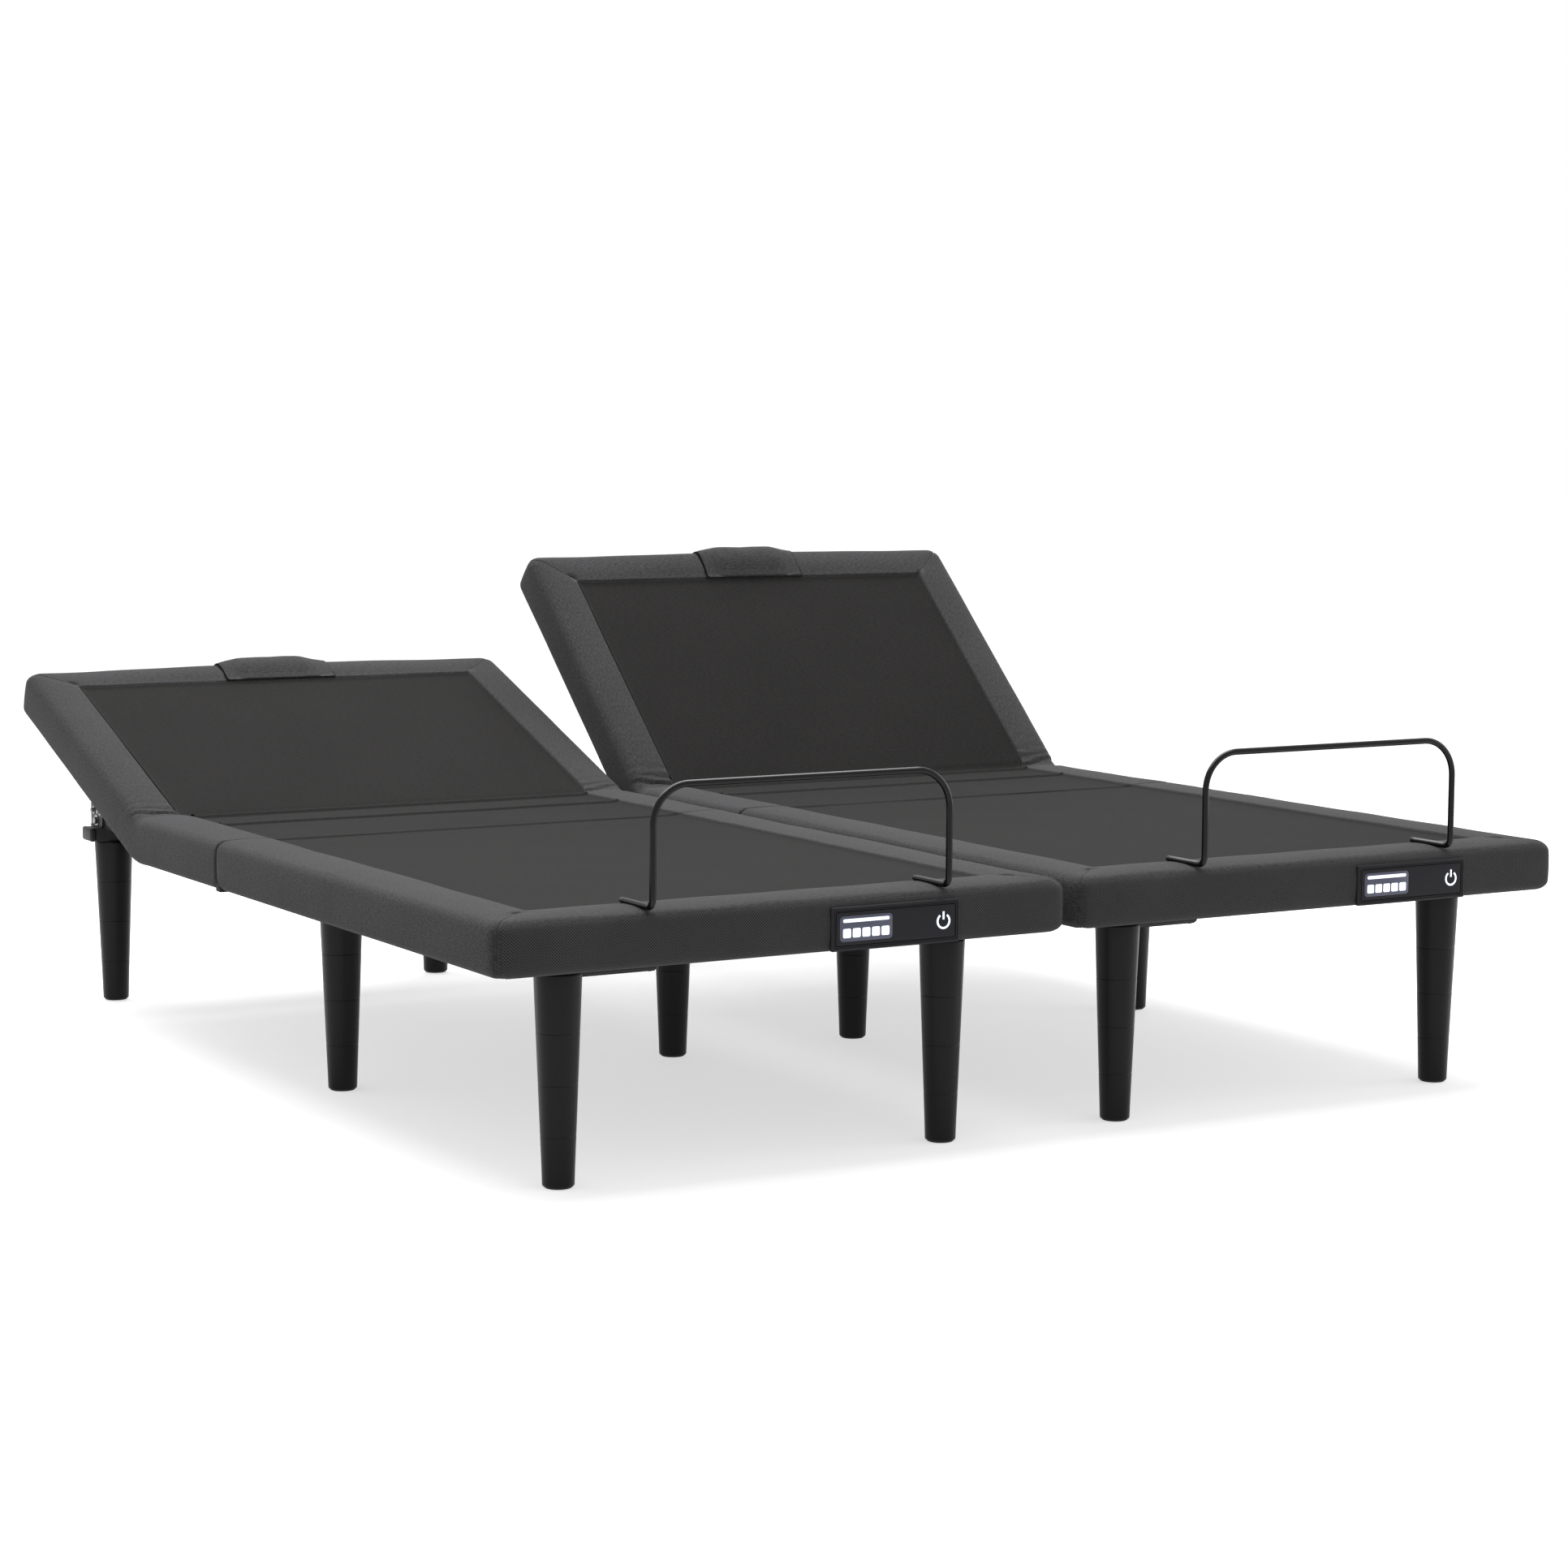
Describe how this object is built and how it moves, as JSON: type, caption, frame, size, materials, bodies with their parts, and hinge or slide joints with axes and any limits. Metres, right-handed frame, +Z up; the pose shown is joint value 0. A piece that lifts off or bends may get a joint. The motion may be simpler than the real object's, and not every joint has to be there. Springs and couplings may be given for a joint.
{
  "type": "adjustable bed base",
  "caption": "Split adjustable bed base: twin upholstered units with lifting head, folding leg section, tapered legs, mattress retainers and foot displays.",
  "frame": {"origin": "on the floor, under the middle of the whole base's box", "axes": "+Z up, +Y towards the head end, +X across the bed to the right when seen from the foot end"},
  "size_m": [1.952, 2.0602, 0.8431],
  "materials": {
    "side_fabric": "woven heathered charcoal upholstery",
    "deck_fabric": "flat brownish-black deck cloth over a panel",
    "leg_plastic": "satin black",
    "frame_steel": "black powder coat",
    "rod_steel": "polished",
    "actuator_plastic": "fine grain black",
    "retainer_paint": "gloss black paint",
    "bezel": "black",
    "screen": "glossy smoked window"
  },
  "bodies": {
    "root": {"joining_bar_middle": "frame_steel", "joining_bar_head": "frame_steel", "left_leg_foot_outer": "leg_plastic", "left_leg_foot_inner": "leg_plastic", "left_leg_middle_outer": "leg_plastic", "left_leg_middle_inner": "leg_plastic", "left_leg_head_outer": "leg_plastic", "left_leg_head_inner": "leg_plastic", "left_base_frame": "frame_steel", "left_control_box": "actuator_plastic", "left_seat_board": "deck_fabric", "left_seat_rail_left": "side_fabric", "left_seat_rail_right": "side_fabric", "left_head_actuator": "actuator_plastic", "left_leg_actuator": "actuator_plastic", "right_leg_foot_outer": "leg_plastic", "right_leg_foot_inner": "leg_plastic", "right_leg_middle_outer": "leg_plastic", "right_leg_middle_inner": "leg_plastic", "right_leg_head_outer": "leg_plastic", "right_leg_head_inner": "leg_plastic", "right_base_frame": "frame_steel", "right_control_box": "actuator_plastic", "right_seat_board": "deck_fabric", "right_seat_rail_left": "side_fabric", "right_seat_rail_right": "side_fabric", "right_head_actuator": "actuator_plastic", "right_leg_actuator": "actuator_plastic"},
    "left_head": {"left_head_board": "deck_fabric", "left_head_upholstery": "side_fabric", "left_head_pod": "side_fabric"},
    "left_thigh": {"left_thigh_board": "deck_fabric", "left_thigh_rail_left": "side_fabric", "left_thigh_rail_right": "side_fabric"},
    "left_foot": {"left_foot_board": "deck_fabric", "left_foot_upholstery": "side_fabric", "left_retainer_bar": "retainer_paint", "left_display_bezel": "bezel", "left_display_screen": "screen"},
    "left_head_arm": {"left_head_lift_arm": "frame_steel"},
    "left_head_rod": {"left_head_actuator_rod": "rod_steel"},
    "left_leg_arm": {"left_leg_lift_arm": "frame_steel"},
    "left_leg_rod": {"left_leg_actuator_rod": "rod_steel"},
    "left_link": {"left_foot_link": "frame_steel"},
    "right_head": {"right_head_board": "deck_fabric", "right_head_upholstery": "side_fabric", "right_head_pod": "side_fabric"},
    "right_thigh": {"right_thigh_board": "deck_fabric", "right_thigh_rail_left": "side_fabric", "right_thigh_rail_right": "side_fabric"},
    "right_foot": {"right_foot_board": "deck_fabric", "right_foot_upholstery": "side_fabric", "right_retainer_bar": "retainer_paint", "right_display_bezel": "bezel", "right_display_screen": "screen"},
    "right_head_arm": {"right_head_lift_arm": "frame_steel"},
    "right_head_rod": {"right_head_actuator_rod": "rod_steel"},
    "right_leg_arm": {"right_leg_lift_arm": "frame_steel"},
    "right_leg_rod": {"right_leg_actuator_rod": "rod_steel"},
    "right_link": {"right_foot_link": "frame_steel"}
  },
  "joints": [
    {"name": "left_head_lift", "type": "hinge", "parent": "root", "child": "left_head", "pos_m": [-0.4935, 0.415, 0.41], "axis": [1, 0, 0], "range_deg": [-20.3, 44.7]},
    {"name": "left_head_arm_turn", "type": "hinge", "parent": "root", "child": "left_head_arm", "pos_m": [-0.4935, 0.37, 0.35], "axis": [1, 0, 0], "range_deg": [-16.42, 36.04]},
    {"name": "left_head_rod_travel", "type": "slide", "parent": "root", "child": "left_head_rod", "axis": [0, 1, 0], "range_m": [-0.02241, 0.04886]},
    {"name": "left_thigh_lift", "type": "hinge", "parent": "root", "child": "left_thigh", "pos_m": [-0.4935, 0.03, 0.41], "axis": [-1, 0, 0], "range_deg": [0, 35]},
    {"name": "left_knee_fold", "type": "hinge", "parent": "left_thigh", "child": "left_foot", "pos_m": [-0.4935, -0.4, 0.328], "axis": [1, 0, 0], "range_deg": [0, 47.4]},
    {"name": "left_leg_arm_turn", "type": "hinge", "parent": "root", "child": "left_leg_arm", "pos_m": [-0.4935, 0.075, 0.35], "axis": [-1, 0, 0], "range_deg": [0, 28.3]},
    {"name": "left_leg_rod_travel", "type": "slide", "parent": "root", "child": "left_leg_rod", "axis": [0, -1, 0], "range_m": [0, 0.0394]},
    {"name": "left_foot_link_turn", "type": "hinge", "parent": "root", "child": "left_link", "pos_m": [-0.4935, -0.42, 0.352], "axis": [-1, 0, 0], "range_deg": [0, 17]},
    {"name": "right_head_lift", "type": "hinge", "parent": "root", "child": "right_head", "pos_m": [0.4935, 0.415, 0.41], "axis": [1, 0, 0], "range_deg": [-42.7, 22.3]},
    {"name": "right_head_arm_turn", "type": "hinge", "parent": "root", "child": "right_head_arm", "pos_m": [0.4935, 0.37, 0.35], "axis": [1, 0, 0], "range_deg": [-34.43, 18.03]},
    {"name": "right_head_rod_travel", "type": "slide", "parent": "root", "child": "right_head_rod", "axis": [0, 1, 0], "range_m": [-0.04669, 0.02457]},
    {"name": "right_thigh_lift", "type": "hinge", "parent": "root", "child": "right_thigh", "pos_m": [0.4935, 0.03, 0.41], "axis": [-1, 0, 0], "range_deg": [0, 35]},
    {"name": "right_knee_fold", "type": "hinge", "parent": "right_thigh", "child": "right_foot", "pos_m": [0.4935, -0.4, 0.328], "axis": [1, 0, 0], "range_deg": [0, 47.4]},
    {"name": "right_leg_arm_turn", "type": "hinge", "parent": "root", "child": "right_leg_arm", "pos_m": [0.4935, 0.075, 0.35], "axis": [-1, 0, 0], "range_deg": [0, 28.3]},
    {"name": "right_leg_rod_travel", "type": "slide", "parent": "root", "child": "right_leg_rod", "axis": [0, -1, 0], "range_m": [0, 0.0394]},
    {"name": "right_foot_link_turn", "type": "hinge", "parent": "root", "child": "right_link", "pos_m": [0.4935, -0.42, 0.352], "axis": [-1, 0, 0], "range_deg": [0, 17]}
  ],
  "couplings": [
    {"joint": "left_head_arm_turn", "follows": "left_head_lift", "ratio": 0.804},
    {"joint": "left_head_rod_travel", "follows": "left_head_lift", "m_per_rad": 0.06211},
    {"joint": "left_knee_fold", "follows": "left_thigh_lift", "ratio": 1.35},
    {"joint": "left_leg_arm_turn", "follows": "left_thigh_lift", "ratio": 0.804},
    {"joint": "left_leg_rod_travel", "follows": "left_thigh_lift", "m_per_rad": 0.06368},
    {"joint": "left_foot_link_turn", "follows": "left_thigh_lift", "ratio": 0.48},
    {"joint": "right_head_arm_turn", "follows": "right_head_lift", "ratio": 0.804},
    {"joint": "right_head_rod_travel", "follows": "right_head_lift", "m_per_rad": 0.06211},
    {"joint": "right_knee_fold", "follows": "right_thigh_lift", "ratio": 1.35},
    {"joint": "right_leg_arm_turn", "follows": "right_thigh_lift", "ratio": 0.804},
    {"joint": "right_leg_rod_travel", "follows": "right_thigh_lift", "m_per_rad": 0.06368},
    {"joint": "right_foot_link_turn", "follows": "right_thigh_lift", "ratio": 0.48}
  ]
}
